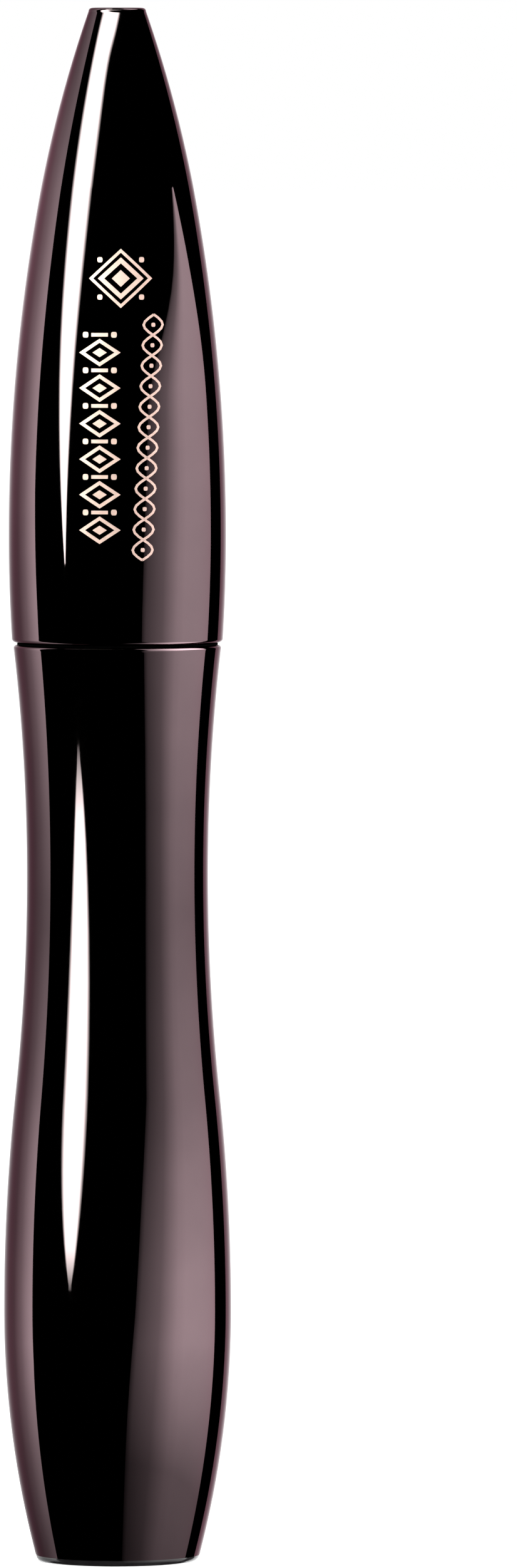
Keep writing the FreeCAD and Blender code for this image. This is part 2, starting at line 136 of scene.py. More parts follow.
def arc_points(start, end, centre_height):
    """Points of the arc from start, without its end."""
    centre = arc_centre_radius(start, end, centre_height)
    size = math.hypot(start[0] - centre, start[1] - centre_height)
    first = math.atan2(start[1] - centre_height, start[0] - centre)
    last = math.atan2(end[1] - centre_height, end[0] - centre)
    sweep = math.remainder(last - first, math.tau)
    steps = max(ROUND_STEPS, math.ceil(abs(sweep) * size / ARC_STEP))
    angles = [first + sweep * share for share in eased(steps)]
    return [(centre + size * math.cos(angle), centre_height + size * math.sin(angle)) for angle in angles]


def side_points(start, end):
    """Points of a straight side from start, without its end, with a support point near each end."""
    length = math.dist(start, end)
    shares = [0]
    if length > SHORTEST_SUPPORTED:
        shares += [EDGE_SUPPORT / length, 1 - EDGE_SUPPORT / length]
    return [tuple(a + (b - a) * share for a, b in zip(start, end)) for share in shares]


def outline_points(corners):
    """Every point of a closed outline of corners."""
    points = []
    for corner, following in zip(corners, corners[1:] + corners[:1]):
        start, end = corner[:2], following[:2]
        points += arc_points(start, end, corner[2]) if len(corner) == 3 else side_points(start, end)
    return points


def object_from(name, mesh, angle=SHARP_ANGLE):
    """Links a bmesh as an object, shaded smooth but for edges sharper than the angle."""
    bmesh.ops.recalc_face_normals(mesh, faces=mesh.faces)
    data = bpy.data.meshes.new(name)
    mesh.to_mesh(data)
    mesh.free()
    data.shade_smooth()
    data.set_sharp_from_angle(angle=angle)
    piece = bpy.data.objects.new(name, data)
    bpy.context.scene.collection.objects.link(piece)
    return piece


def add_turned(mesh, corners, segments=SEGMENTS):
    """Adds the closed solid that an outline sweeps round the axis to a bmesh."""
    rings = []
    for radius, height in outline_points(corners):
        if radius < SAME_PLACE:
            rings.append([mesh.verts.new((0, 0, height))])
            continue
        turns = [math.tau * step / segments for step in range(segments)]
        rings.append([mesh.verts.new((radius * math.cos(a), radius * math.sin(a), height)) for a in turns])
    for ring, following in zip(rings, rings[1:] + rings[:1]):
        if len(ring) == len(following) == 1:
            continue
        for step in range(segments):
            pair = (step, (step + 1) % segments)
            around = [ring[i % len(ring)] for i in pair]
            around += [following[i % len(following)] for i in reversed(pair)]
            mesh.faces.new(list(dict.fromkeys(around)))


def turned(name, corners, body, node):
    """A turned piece that stands for a CAD node and rides on its body."""
    mesh = bmesh.new()
    add_turned(mesh, corners)
    piece = object_from(name, mesh)
    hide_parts(node)
    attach(piece, body)
    return piece


def walked_back(chain):
    """The same corners from the other end, each arc now named by the corner below it."""
    points = [corner[:2] for corner in reversed(chain)]
    centres = [corner[2:] for corner in reversed(chain[:-1])]
    return [point + centre for point, centre in zip(points, centres)] + points[-1:]


# ---------------------------------------------------------------------------------------------------
# materials


# the span that the noise texture's values mostly fill
NOISE_LOW = 0.3
NOISE_HIGH = 0.7


class Finish:
    """A Principled material with the procedural nodes that vary it over the surface."""

    def __init__(self, name, **values):
        self.material = bpy.data.materials.new(name)
        self.material.use_nodes = True
        self.tree = self.material.node_tree
        self.shader = next(node for node in self.tree.nodes if node.type == "BSDF_PRINCIPLED")
        self.place = self.node("ShaderNodeTexCoord").outputs["Object"]
        for socket, value in values.items():
            self.shader.inputs[socket.replace("_", " ")].default_value = value

    def node(self, kind, **settings):
        """A new node with its own settings."""
        made = self.tree.nodes.new(kind)
        for setting, value in settings.items():
            setattr(made, setting, value)
        return made

    def link(self, output, target):
        """Joins two sockets."""
        self.tree.links.new(output, target)

    def noise(self, size, detail=3, stretch=(1, 1, 1)):
        """Noise whose grains are about this size, stretched along the axes."""
        scaling = self.node("ShaderNodeMapping")
        scaling.inputs["Scale"].default_value = [1 / (size * share) for share in stretch]
        texture = self.node("ShaderNodeTexNoise")
        texture.inputs["Scale"].default_value = 1
        texture.inputs["Detail"].default_value = detail
        self.link(self.place, scaling.inputs["Vector"])
        self.link(scaling.outputs["Vector"], texture.inputs["Vector"])
        return texture.outputs["Fac"]

    def colours(self, factor, dark, light):
        """Base colour that runs from one colour to another."""
        ramp = self.node("ShaderNodeValToRGB")
        ends = ((dark, NOISE_LOW), (light, NOISE_HIGH))
        for element, (colour, position) in zip(ramp.color_ramp.elements, ends):
            element.position = position
            element.color = (*colour, 1)
        self.link(factor, ramp.inputs["Fac"])
        self.link(ramp.outputs["Color"], self.shader.inputs["Base Color"])

    def roughness(self, factor, low, high):
        """Roughness that runs from low to high."""
        span = self.node("ShaderNodeMapRange")
        span.inputs["From Min"].default_value = NOISE_LOW
        span.inputs["From Max"].default_value = NOISE_HIGH
        span.inputs["To Min"].default_value = low
        span.inputs["To Max"].default_value = high
        self.link(factor, span.inputs["Value"])
        self.link(span.outputs["Result"], self.shader.inputs["Roughness"])

    def relief(self, factor, depth, strength):
        """Bump of this depth."""
        bump = self.node("ShaderNodeBump")
        bump.inputs["Distance"].default_value = depth
        bump.inputs["Strength"].default_value = strength
        self.link(factor, bump.inputs["Height"])
        self.link(bump.outputs["Normal"], self.shader.inputs["Normal"])


def plum_lacquer():
    """Mirror lacquer over metallising: dark plum, with the faint unevenness of a sprayed film."""
    finish = Finish("plum_lacquer", Metallic=1.0, Specular_Tint=(0.5, 0.43, 0.45, 1))
    finish.colours(finish.noise(6 * MM), (0.0595, 0.0412, 0.0452), (0.0645, 0.0446, 0.0488))
    finish.roughness(finish.noise(0.8 * MM), 0.018, 0.04)
    finish.relief(finish.noise(3 * MM, detail=1), 0.0002 * MM, 0.4)
    return finish.material


def black_moulding(name, low, high):
    """Gloss black moulded plastic with slight flow marks; low and high bound its roughness."""
    finish = Finish(name, IOR=1.5)
    finish.colours(finish.noise(2.5 * MM), (0.0075, 0.0068, 0.0074), (0.0125, 0.0115, 0.0125))
    finish.roughness(finish.noise(1.2 * MM, stretch=(1, 1, 3)), low, high)
    finish.relief(finish.noise(0.5 * MM), 0.002 * MM, 0.3)
    return finish.material


def matt_black():
    """Fine-textured black moulding that hardly shines."""
    finish = Finish("collar_plastic", Specular_IOR_Level=0.0)
    finish.colours(finish.noise(1 * MM), (0.0008, 0.0008, 0.0008), (0.0016, 0.0016, 0.0016))
    finish.roughness(finish.noise(0.5 * MM), 0.5, 0.6)
    finish.relief(finish.noise(0.2 * MM), 0.002 * MM, 0.6)
    return finish.material


def elastomer(name, dark, light, low, high, grain, depth):
    """Soft moulded rubber with a fine satin grain."""
    finish = Finish(name, IOR=1.45)
    finish.colours(finish.noise(1.5 * MM), dark, light)
    finish.roughness(finish.noise(0.6 * MM), low, high)
    finish.relief(finish.noise(grain, detail=4), depth, 0.6)
    return finish.material


def brush_elastomer():
    """Satin black elastomer of the brush."""
    dark, light = (0.006, 0.006, 0.0065), (0.013, 0.0125, 0.013)
    return elastomer("brush_elastomer", dark, light, low=0.3, high=0.46, grain=0.08 * MM, depth=0.004 * MM)


def wiper_rubber():
    """Pale satin rubber of the wiper."""
    dark, light = (0.5, 0.48, 0.47), (0.6, 0.58, 0.57)
    return elastomer("wiper_rubber", dark, light, low=0.42, high=0.55, grain=0.15 * MM, depth=0.006 * MM)


def seal_rubber():
    """Matt foamed rubber of the gasket."""
    dark, light = (0.62, 0.61, 0.59), (0.76, 0.75, 0.73)
    return elastomer("seal_rubber", dark, light, low=0.7, high=0.85, grain=0.12 * MM, depth=0.02 * MM)


def wet_paste():
    """Thick black paste: smeared, with a wet shine and soft peaks."""
    finish = Finish("formula_paste", IOR=1.48, Coat_Weight=0.6, Coat_Roughness=0.08)
    finish.colours(finish.noise(0.9 * MM), (0.004, 0.004, 0.005), (0.014, 0.013, 0.014))
    finish.roughness(finish.noise(0.7 * MM), 0.25, 0.55)
    finish.relief(finish.noise(1.1 * MM, detail=5, stretch=(1, 1, 0.5)), 0.12 * MM, 0.8)
    return finish.material


def label_paper():
    """Blank coated paper with short fibres under the coating."""
    finish = Finish("label_paper", IOR=1.45)
    fibres = finish.noise(0.5 * MM, detail=6, stretch=(2.5, 0.7, 1))
    finish.colours(fibres, (0.78, 0.76, 0.73), (0.88, 0.86, 0.84))
    finish.roughness(finish.noise(0.4 * MM), 0.5, 0.68)
    finish.relief(finish.noise(0.12 * MM, detail=5, stretch=(3, 0.8, 1)), 0.006 * MM, 0.6)
    return finish.material


def rose_foil():
    """Rose-gold hot-stamped foil, finely uneven where it took to the lacquer."""
    finish = Finish("rose_foil", Metallic=0.5, IOR=1.5)
    finish.colours(finish.noise(0.5 * MM), (0.58, 0.385, 0.335), (0.68, 0.455, 0.4))
    finish.roughness(finish.noise(0.25 * MM), 0.36, 0.5)
    finish.relief(finish.noise(0.09 * MM, detail=4), 0.002 * MM, 0.5)
    return finish.material


def dress(piece, material):
    """Gives a piece one material all over; a CAD node has it on its object, and its mesh stays as it is."""
    if "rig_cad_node" in piece:
        for slot in piece.material_slots:
            slot.link = "OBJECT"
            slot.material = material
    else:
        piece.data.materials.append(material)


# ---------------------------------------------------------------------------------------------------
# shells and mouldings


rim_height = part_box("cap_shell")[0][2]
tip_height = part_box("cap_shell")[1][2]
swell_height = rim_height + CAP_SWELL_RISE
swell = (outer("cap_shell", swell_height), swell_height)
nose_height = rim_height + CAP_NOSE_RISE
nose_centre_height = rim_height + CAP_NOSE_CENTRE_RISE
nose = (outer("cap_shell", nose_height), nose_height)
tip_side = (outer("cap_shell", tip_height - EDGE_ROUND), tip_height - EDGE_ROUND)
rim_side = (outer("cap_shell", rim_height + EDGE_ROUND), rim_height + EDGE_ROUND)


def cap_radius(height):
    """Radius of the cap's outside at a height between its rim and its nose."""
    start = nose if height > swell_height else rim_side
    centre = arc_centre_radius(start, swell, swell_height)
    return centre + math.sqrt((swell[0] - centre) ** 2 - (height - swell_height) ** 2)


def cap_shell():
    """Bullet-shaped cap, hollow, with a small flat tip and a rounded rim."""
    hollow_top = tip_height - NOSE_HOLLOW_DEPTH
    inside = inner("cap_shell", rim_height)
    return turned("cap_lacquer", [
        (inside, rim_height),
        (rim_side[0] - EDGE_ROUND, rim_height, rim_side[1]),
        (*rim_side, swell_height),
        (*swell, swell_height),
        (*nose, nose_centre_height),
        (*tip_side, tip_side[1]),
        (tip_side[0] - EDGE_ROUND, tip_height),
        (0, tip_height),
        (0, hollow_top),
        (outer("cap_shell", hollow_top), hollow_top, swell_height),
        (inner("cap_shell", swell_height), swell_height, swell_height),
        (inside, rim_side[1]),
    ], "cap", "cap_shell")


def hourglass(pick, top, foot):
    """One side of the bottle from the top to the foot; pick takes the inner or the outer radius."""
    waist = pick("bottle_shell", WAIST_HEIGHT)
    belly = pick("bottle_shell", BELLY_HEIGHT)
    halfway = ((waist + belly) / 2, (WAIST_HEIGHT + BELLY_HEIGHT) / 2)
    return [
        (*top, WAIST_HEIGHT),
        (waist, WAIST_HEIGHT, WAIST_HEIGHT),
        (*halfway, BELLY_HEIGHT),
        (belly, BELLY_HEIGHT, BELLY_HEIGHT),
        foot,
    ]


def bottle_shell():
    """Hourglass bottle, open at both ends, with a ledge inside its mouth."""
    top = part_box("bottle_shell")[1][2]
    side_top = top - EDGE_ROUND
    ledge_height = top - LEDGE_DEPTH
    shoulder = outer("bottle_shell", side_top)
    mouth = inner("bottle_shell", top)
    land = inner("bottle_shell", FOOT_THICKNESS)
    foot = (outer("bottle_shell", FOOT_THICKNESS), FOOT_THICKNESS)
    ledge = (inner("bottle_shell", ledge_height), ledge_height)
    inner_foot = (outer("bottle_shell", LAND_TOP), LAND_TOP)
    outside = hourglass(outer, (shoulder, side_top), foot)
    inside = hourglass(inner, ledge, inner_foot)
    return turned("bottle_lacquer", [
        (shoulder - EDGE_ROUND, top, side_top),
        *outside,
        (land, FOOT_THICKNESS),
        (land, LAND_TOP),
        *walked_back(inside),
        (mouth, ledge_height),
        (mouth, top),
    ], "bottle", "bottle_shell")


def base_plug():
    """Plug in the foot, whose rounded flange is the thin black line that the tube stands on."""
    flange = outer("base_plug", FOOT_THICKNESS)
    land = outer("base_plug", LAND_TOP)
    hollow = inner("base_plug", LAND_TOP)
    recess = inner("base_plug", 0)
    return turned("foot_plug", [
        (recess, 0),
        (flange - FOOT_ROUND, 0, FOOT_ROUND),
        (flange, FOOT_ROUND),
        (flange, FOOT_THICKNESS),
        (land, FOOT_THICKNESS),
        (land, LAND_TOP),
        (hollow, LAND_TOP),
        (hollow, PLUG_FLOOR_TOP),
        (0, PLUG_FLOOR_TOP),
        (0, LABEL_RECESS),
        (recess, LABEL_RECESS),
    ], "bottle", "base_plug")


def neck_collar():
    """Ring round the neck, whose lip is the black line in the parting gap."""
    bottom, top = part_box("neck_collar")[0][2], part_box("neck_collar")[1][2]
    shell_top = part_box("bottle_shell")[1][2]
    inside, outside = inner("neck_collar", bottom), outer("neck_collar", bottom)
    lip = outer("neck_collar", top)
    return turned("collar_ring", [
        (inside, bottom),
        (outside, bottom),
        (outside, shell_top),
        (lip, shell_top),
        (lip, top - LIP_ROUND, top - LIP_ROUND),
        (lip - LIP_ROUND, top),
        (inside, top),
    ], "bottle", "neck_collar")


def stem():
    """Polished rod with a head in the cap and a socket for the brush's shank."""
    bottom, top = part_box("stem")[0][2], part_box("stem")[1][2]
    head = outer("stem", top)
    rod = outer("stem", bottom + STEM_CHAMFER)
    socket = inner("stem", bottom)
    return turned("wand_rod", [
        (socket, bottom),
        (rod - STEM_CHAMFER, bottom, bottom + STEM_CHAMFER),
        (rod, bottom + STEM_CHAMFER),
        (rod, top - STEM_HEAD_LENGTH),
        (head, top - STEM_HEAD_LENGTH),
        (head, top),
        (0, top),
        (0, SHANK_SOCKET_TOP),
        (socket, SHANK_SOCKET_TOP),
    ], "wand_stem", "stem")


# ---------------------------------------------------------------------------------------------------
# brush


BRUSH_BRISTLED = 24.9 * MM
BRUSH_ROWS = 36
SPIKES_PER_ROW = 12
SPIKE_MARGIN = 0.75 * MM
SPIKE_ROOT = 0.17 * MM
SPIKE_TIP = 0.045 * MM
SPIKE_SINK = 0.12 * MM
SPIKE_SIDES = 8
SPIKE_RINGS = 6
SPIKE_DROOP = 0.05
CORE_TIP = 1.2 * MM
CORE_ROOT = 1.55 * MM
CORE_FILLET = 0.25 * MM
KNOB_RADIUS = 1.4 * MM
KNOB_HEIGHT = 1.0 * MM
KNOB_ROUND = 0.5 * MM
SHANK_RADIUS = 1.1 * MM
CORE_SEGMENTS = 48
SPIKE_TAPER = 0.7
SPIKE_STRAY = 0.02
SHORTEST_SPIKE = 0.97
BRUSH_SHARP_ANGLE = math.radians(40)

# the spikes' reach from the tip of the brush to its root: share of the length, share of the brush's radius
REACH = [(0.0, 0.48), (0.3, 0.83), (0.53, 1.0), (0.83, 1.0), (0.885, 0.75), (0.94, 0.5), (1.0, 0.46)]


def between(rows, place):
    """Value at a place in rows of (place, value), read along the straight line between its neighbours."""
    for (low, first), (high, second) in zip(rows, rows[1:]):
        if place <= high:
            return first + (second - first) * max(0, place - low) / (high - low)
    return rows[-1][1]


def add_spike(mesh, root, direction, length, droop):
    """Adds one slender spike with a rounded tip; droop bends it along the axis."""
    sideways = direction.cross((0, 0, 1)).normalized()
    upward = sideways.cross(direction)
    rings = []
    for step in range(SPIKE_RINGS):
        share = step / (SPIKE_RINGS - 1)
        centre = root + direction * (length * share) + Vector((0, 0, droop * length * share * share))
        radius = SPIKE_ROOT + (SPIKE_TIP - SPIKE_ROOT) * share**SPIKE_TAPER
        turns = [math.tau * side / SPIKE_SIDES for side in range(SPIKE_SIDES)]
        ring = [centre + (sideways * math.cos(a) + upward * math.sin(a)) * radius for a in turns]
        rings.append([mesh.verts.new(place) for place in ring])
    end = mesh.verts.new(centre + direction * SPIKE_TIP)
    mesh.faces.new(rings[0])
    for side in range(SPIKE_SIDES):
        after = (side + 1) % SPIKE_SIDES
        for ring, following in zip(rings, rings[1:]):
            mesh.faces.new((ring[side], ring[after], following[after], following[side]))
        mesh.faces.new((rings[-1][side], rings[-1][after], end))


def brush():
    """Moulded brush: a core with a round knob at its tip, and staggered rows of spikes round it."""
    chance = random.Random(7)
    low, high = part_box("brush")
    bottom, reach, root_height = low[2], high[0], low[2] + BRUSH_BRISTLED
    core_bottom = bottom + KNOB_HEIGHT
    mesh = bmesh.new()
    add_turned(mesh, [
        (0, bottom),
        (KNOB_RADIUS - KNOB_ROUND, bottom, bottom + KNOB_ROUND),
        (KNOB_RADIUS, bottom + KNOB_ROUND),
        (KNOB_RADIUS, core_bottom - CORE_FILLET),
        (CORE_TIP, core_bottom),
        (CORE_ROOT, root_height - CORE_FILLET, root_height - CORE_FILLET),
        (CORE_ROOT - CORE_FILLET, root_height),
        (SHANK_RADIUS, root_height),
        (SHANK_RADIUS, high[2]),
        (0, high[2]),
    ], CORE_SEGMENTS)
    first, last = bottom + SPIKE_MARGIN, root_height - SPIKE_MARGIN
    for row in range(BRUSH_ROWS):
        share = row / (BRUSH_ROWS - 1)
        height = first + (last - first) * share
        core = CORE_TIP + (CORE_ROOT - CORE_TIP) * (height - bottom) / BRUSH_BRISTLED - SPIKE_SINK
        for spike in range(SPIKES_PER_ROW):
            turn = math.tau * (spike + (row % 2) / 2) / SPIKES_PER_ROW
            turn += chance.uniform(-SPIKE_STRAY, SPIKE_STRAY)
            direction = Vector((math.cos(turn), math.sin(turn), 0))
            length = reach * between(REACH, share) * chance.uniform(SHORTEST_SPIKE, 1) - SPIKE_TIP - core
            droop = SPIKE_DROOP * (0.5 - share) + chance.uniform(-SPIKE_STRAY, SPIKE_STRAY)
            add_spike(mesh, direction * core + Vector((0, 0, height)), direction, length, droop)
    piece = object_from("moulded_brush", mesh, BRUSH_SHARP_ANGLE)
    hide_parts("brush")
    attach(piece, "cap")
    return piece


# ---------------------------------------------------------------------------------------------------
# foil ornament: plain lozenges, bars and a braid, in the place of the maker's lettering


FOIL_LIFT = 0.014 * MM
FOIL_SINK = 0.02 * MM
FOIL_STEP = 0.22 * MM
FOIL_COLUMNS = 4
WAVE_COLUMNS = 2
DOT_COLUMNS = 6
DOT_STEPS = 12
LOZENGE_COLUMNS = 8
SAME_FOIL_PLACE = 0.0005 * MM
SHORTEST_FOIL_EDGE = 0.0002 * MM


def on_cap(across, height, lift):
    """The point on the cap this far round from the front, lifted off its surface."""
    radius = cap_radius(height)
    angle = across / radius
    return Vector(((radius + lift) * math.sin(angle), -(radius + lift) * math.cos(angle), height))


def divided(points, closed):
    """The path with points added, so that no step is longer than FOIL_STEP."""
    ends = points[1:] + points[:1] if closed else points[1:]
    fine = []
    for start, end in zip(points, ends):
        steps = max(1, math.ceil(math.dist(start, end) / FOIL_STEP))
        fine += [tuple(a + (b - a) * step / steps for a, b in zip(start, end)) for step in range(steps)]
    return fine if closed else fine + [points[-1]]


def add_band(mesh, points, width, closed=False, columns=FOIL_COLUMNS):
    """Adds a foil band along (across, height) points; its width is one size, or a function of the share."""
    path = divided(points, closed)
    count = len(path)
    rows = []
    for index, (u, z) in enumerate(path):
        before = path[index - 1] if closed or index else None
        after = path[(index + 1) % count] if closed or index < count - 1 else None
        sides = [(start, end) for start, end in ((before, (u, z)), ((u, z), after)) if start and end]
        normals = [Vector((start[1] - end[1], end[0] - start[0])).normalized() for start, end in sides]
        mitre = sum(normals, Vector((0, 0)))
        if len(normals) == 2:
            mitre = mitre * (len(normals) / mitre.length_squared)
        half = (width(index / (count - 1)) if callable(width) else width) / 2
        offsets = [half * (2 * column / columns - 1) for column in range(columns + 1)]
        places = [(u + mitre.x * offset, z + mitre.y * offset) for offset in offsets]
        layers = (-FOIL_SINK, FOIL_LIFT)
        rows.append([[mesh.verts.new(on_cap(*place, lift)) for place in places] for lift in layers])
    for row, following in zip(rows, rows[1:] + rows[:1] if closed else rows[1:]):
        ring = row[0] + row[1][::-1]
        next_ring = following[0] + following[1][::-1]
        for i in range(len(ring)):
            j = (i + 1) % len(ring)
            mesh.faces.new((ring[i], ring[j], next_ring[j], next_ring[i]))
    if not closed:
        for row in (rows[0], rows[-1]):
            for i in range(columns):
                mesh.faces.new((row[0][i], row[0][i + 1], row[1][i + 1], row[1][i]))


def foil_piece(name, mesh, material):
    """Makes a foil piece of a bmesh and lets it ride on the cap."""
    bmesh.ops.remove_doubles(mesh, verts=mesh.verts, dist=SAME_FOIL_PLACE)
    bmesh.ops.dissolve_degenerate(mesh, edges=mesh.edges, dist=SHORTEST_FOIL_EDGE)
    piece = object_from(name, mesh)
    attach(piece, "cap")
    dress(piece, material)
    return piece


def lozenge(centre, half_width, half_height):
    """The four corners of a lozenge."""
    u, z = centre
    return [(u, z - half_height), (u + half_width, z), (u, z + half_height), (u - half_width, z)]


def add_solid_lozenge(mesh, centre, half_width, half_height):
    """Adds a filled lozenge."""
    u, z = centre
    ends = [(u, z - half_height), (u, z), (u, z + half_height)]
    add_band(mesh, ends, lambda share: 2 * half_width * (1 - abs(2 * share - 1)), columns=LOZENGE_COLUMNS)


def add_dot(mesh, centre, radius):
    """Adds a round dot."""
    u, z = centre
    ends = [(u, z + radius * math.cos(math.pi * step / DOT_STEPS)) for step in range(DOT_STEPS + 1)]

    def chord(share):
        return 2 * radius * math.sqrt(max(0, 1 - (2 * share - 1) ** 2))

    add_band(mesh, ends, chord, columns=DOT_COLUMNS)


# medallion: two lozenges round a solid one, with a dot beside each side
MEDALLION = (0.35 * MM, 107.5 * MM)
MEDALLION_OUTER = (2.5 * MM, 2.3 * MM)
MEDALLION_OUTER_BAND = 0.24 * MM
MEDALLION_INNER = (1.65 * MM, 1.5 * MM)
MEDALLION_INNER_BAND = 0.36 * MM
MEDALLION_HEART = (0.75 * MM, 0.7 * MM)
MEDALLION_DOT = 0.22 * MM
MEDALLION_DOT_ACROSS = 1.75 * MM
MEDALLION_DOT_UP = 1.55 * MM


def foil_medallion(material):
    """Medallion on the cap's upper front."""
    mesh = bmesh.new()
    add_band(mesh, lozenge(MEDALLION, *MEDALLION_OUTER), MEDALLION_OUTER_BAND, closed=True)
    add_band(mesh, lozenge(MEDALLION, *MEDALLION_INNER), MEDALLION_INNER_BAND, closed=True)
    add_solid_lozenge(mesh, MEDALLION, *MEDALLION_HEART)
    for up in (1, -1):
        for side in (1, -1):
            u = MEDALLION[0] + side * MEDALLION_DOT_ACROSS
            z = MEDALLION[1] + up * MEDALLION_DOT_UP
            add_dot(mesh, (u, z), MEDALLION_DOT)
    foil_piece("foil_medallion", mesh, material)


# chain: lozenges with solid hearts, and a bar between two dots after each
CHAIN_LINKS = 6
CHAIN_ACROSS = -1.42 * MM
CHAIN_LOW = 86.6 * MM
CHAIN_PITCH = 2.95 * MM
CHAIN_LOZENGE = (1.5 * MM, 0.98 * MM)
CHAIN_HEART = (0.6 * MM, 0.38 * MM)
CHAIN_BAND = 0.28 * MM
CHAIN_DOT = 0.24 * MM
CHAIN_DOT_ACROSS = 1.2 * MM
CHAIN_BAR = 0.3 * MM
CHAIN_BAR_END = 0.7 * MM


def foil_chain(material):
    """Chain of lozenges up the left of the cap's front."""
    mesh = bmesh.new()
    for link in range(CHAIN_LINKS):
        z = CHAIN_LOW + CHAIN_PITCH * link
        add_band(mesh, lozenge((CHAIN_ACROSS, z), *CHAIN_LOZENGE), CHAIN_BAND, closed=True)
        add_solid_lozenge(mesh, (CHAIN_ACROSS, z), *CHAIN_HEART)
        bar_z = z + CHAIN_PITCH / 2
        for side in (-1, 1):
            add_dot(mesh, (CHAIN_ACROSS + side * CHAIN_DOT_ACROSS, bar_z), CHAIN_DOT)
        bar = [(CHAIN_ACROSS + side * CHAIN_BAR_END, bar_z) for side in (-1, 1)]
        add_band(mesh, bar, CHAIN_BAR)
    foil_piece("foil_chain", mesh, material)


# braid: two fine waves that cross, with a dot in each eye
BRAID_TURNS = 6
BRAID_STEPS = 12
BRAID_ACROSS = 2.15 * MM
BRAID_LEAN = 0.05
BRAID_SWING = 0.85 * MM
BRAID_PITCH = 3.4 * MM
BRAID_LOW = 84.1 * MM
BRAID_BAND = 0.2 * MM
BRAID_DOT = 0.17 * MM


def braid_place(turn, swing=0):
    """The point on the braid's leaning middle line after this many turns, swung to one side."""
    rise = BRAID_PITCH * turn
    return (BRAID_ACROSS + rise * BRAID_LEAN + swing, BRAID_LOW + rise)


def foil_braid(material):
    """Braid up the right of the cap's front."""
    turns = [step / BRAID_STEPS for step in range(BRAID_TURNS * BRAID_STEPS + 1)]
    for name, side in (("foil_wave_left", -1), ("foil_wave_right", 1)):
        mesh = bmesh.new()
        path = [braid_place(turn, side * BRAID_SWING * math.sin(math.tau * turn)) for turn in turns]
        add_band(mesh, path, BRAID_BAND, columns=WAVE_COLUMNS)
        foil_piece(name, mesh, material)
    mesh = bmesh.new()
    for eye in range(2 * BRAID_TURNS):
        add_dot(mesh, braid_place((eye + 0.5) / 2), BRAID_DOT)
    foil_piece("foil_braid_dots", mesh, material)


# ---------------------------------------------------------------------------------------------------
# studio: a pale floor, white surroundings and curved cards of light close round the tube. The mirror
# lacquer takes its look from the cards. They stand so close to it that each height of the tube shows its
# own height of them.


CARD_RADIUS = 55 * MM
CARD_GAP = 0.25 * MM
CARD_STEP = math.radians(2)
CARD_TOP = 350

# how strongly the cards shine
LEFT_WRAP_POWER = 4
LEFT_POWER = 4.5
RIGHT_POWER = 5
RIM_POWER = 1.9
STRIP_POWER = 26
BOTTLE_EDGE_POWER = 15
CAP_EDGE_POWER = 6
HIGH_POWER = 4.6
STRIP_COLOUR = (0.83, 1, 0.91, 1)

# how finely curved outlines are divided, and how blunt the ends of a lens are
CURVE_STEPS = 6
LENS_STEPS = 24
LENS_TAPER = 0.8
LENS_TIP = 0.06

# brightness round a card, as (share of the way from its first bearing to its last, brightness)
LEVEL = [(0, 1), (1, 1)]
WRAP_FADE = [(0, 0.6), (0.7, 0.5), (1, 0.43)]
LEFT_FADE = [(0, 0), (0.65, 0.05), (0.8, 0.33), (0.92, 0.76), (1, 1)]
RIGHT_FADE = [(0, 0.05), (0.05, 0.18), (0.25, 0.38), (0.45, 0.9), (0.55, 1), (1, 1)]
STRIP_EDGES = [(0, 0), (0.06, 0.3), (0.14, 1), (0.86, 1), (0.94, 0.3), (1, 0)]


def curved(rows):
    """An outline's few rows with more between them, on smooth curves through them."""
    knots = [Vector(row) for row in rows]
    leans = [(after - before) / 6 for before, after in zip(knots[:1] + knots[:-1], knots[1:] + knots[-1:])]
    points = []
    for start, end, lean, next_lean in zip(knots, knots[1:], leans, leans[1:]):
        points += interpolate_bezier(start, start + lean, end - next_lean, end, CURVE_STEPS + 1)[:-1]
    return points + knots[-1:]


def lens(low, widest, high, middle, half_width):
    """The outline of a strip about a middle bearing, widest at one height and pointed at both ends."""
    rows = []
    for share in eased(LENS_STEPS) + [1]:
        height = low + (high - low) * share
        tip = low if height < widest else high
        taper = max(LENS_TIP, 1 - ((height - widest) / (tip - widest)) ** 2) ** LENS_TAPER
        rows.append((height, middle - half_width * taper, middle + half_width * taper))
    return rows


# outlines of the cards, as (height in mm, first bearing, last bearing in degrees), and their brightness by
# height; bearing 0 is in front of the tube and +90 to its right
LEFT_BOX = [
    (-35, -180, -96), (10, -180, -89), (75, -180, -89), (90, -180, -91), (CARD_TOP, -180, -91),
]
LEFT_WRAP_BY_HEIGHT = [(-20, 0.28), (5, 0.5), (76, 0.5), (120, 1), (130, 0.95), (142, 0.65)]
LEFT_BY_HEIGHT = [
    (-17, 0.2), (-3, 0.45), (13, 1.05), (36, 0.8), (53, 0.17), (68, 0.8), (85, 1), (107, 0.8), (133, 0.26),
    (160, 0.2), (190, 0.9),
]
RIGHT_BOX = curved([
    (-35, 6, 110), (0, 10, 109), (30, 22, 109), (55, 34, 109), (70, 25, 109), (96, 30, 110), (106, 38, 109),
    (118, 72, 100), (128, 88, 90.5),
])
RIGHT_BY_HEIGHT = [(-30, 0.2), (-10, 0.3), (13, 1), (22, 1), (53, 0.5), (68, 0.8), (128, 1)]
RIM_BOX = [(-35, 134, 180), (CARD_TOP, 134, 180)]
BOTTLE_STRIP = lens(low=21, widest=47, high=60.7, middle=-45, half_width=14.5)
BOTTLE_STRIP_BY_HEIGHT = [(21, 0.05), (26, 0.9), (30, 1), (57.5, 1), (60.7, 0.05)]
CAP_STRIP = curved([
    (81, -53, -52), (110, -66, -45), (140, -71, -33), (158, -69, -22), (168, -60, 2), (175, -50, 30),
])
